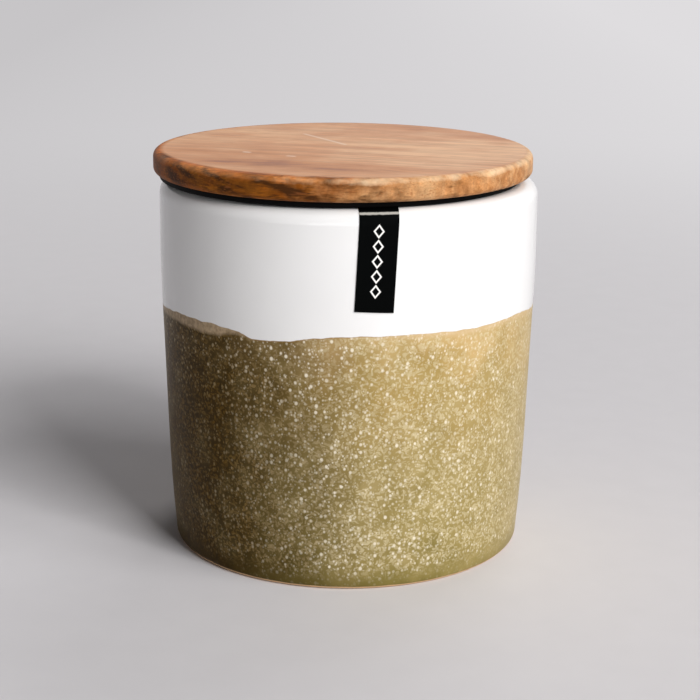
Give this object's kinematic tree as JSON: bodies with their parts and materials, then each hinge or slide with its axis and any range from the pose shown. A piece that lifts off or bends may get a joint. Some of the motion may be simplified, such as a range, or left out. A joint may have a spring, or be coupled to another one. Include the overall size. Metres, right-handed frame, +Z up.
{
  "type": "storage jar",
  "caption": "Round stoneware storage jar with a two-tone glaze, a lift-off wooden lid on a black silicone seal, and a narrow black label folded over its rim.",
  "frame": {"origin": "middle of the foot ring, on the surface the jar stands on", "axes": "+Z up along the jar's axis, -Y towards the front, where the label hangs"},
  "size_m": [0.1268, 0.1253, 0.1321],
  "materials": {
    "stoneware": "glossy white glaze above, speckled olive glaze below, bare clay foot",
    "label_black": "glossy",
    "acacia": "oiled, satin",
    "silicone_black": "matte"
  },
  "bodies": {
    "jar": {"jar_body": "stoneware", "rim_label": "label_black"},
    "lid": {"lid_disc": "acacia", "lid_plug": "acacia", "lid_seal": "silicone_black"}
  },
  "joints": [
    {"name": "lid_lift", "type": "slide", "parent": "jar", "child": "lid", "axis": [0, 0, 1], "range_m": [0, 0.04]}
  ]
}
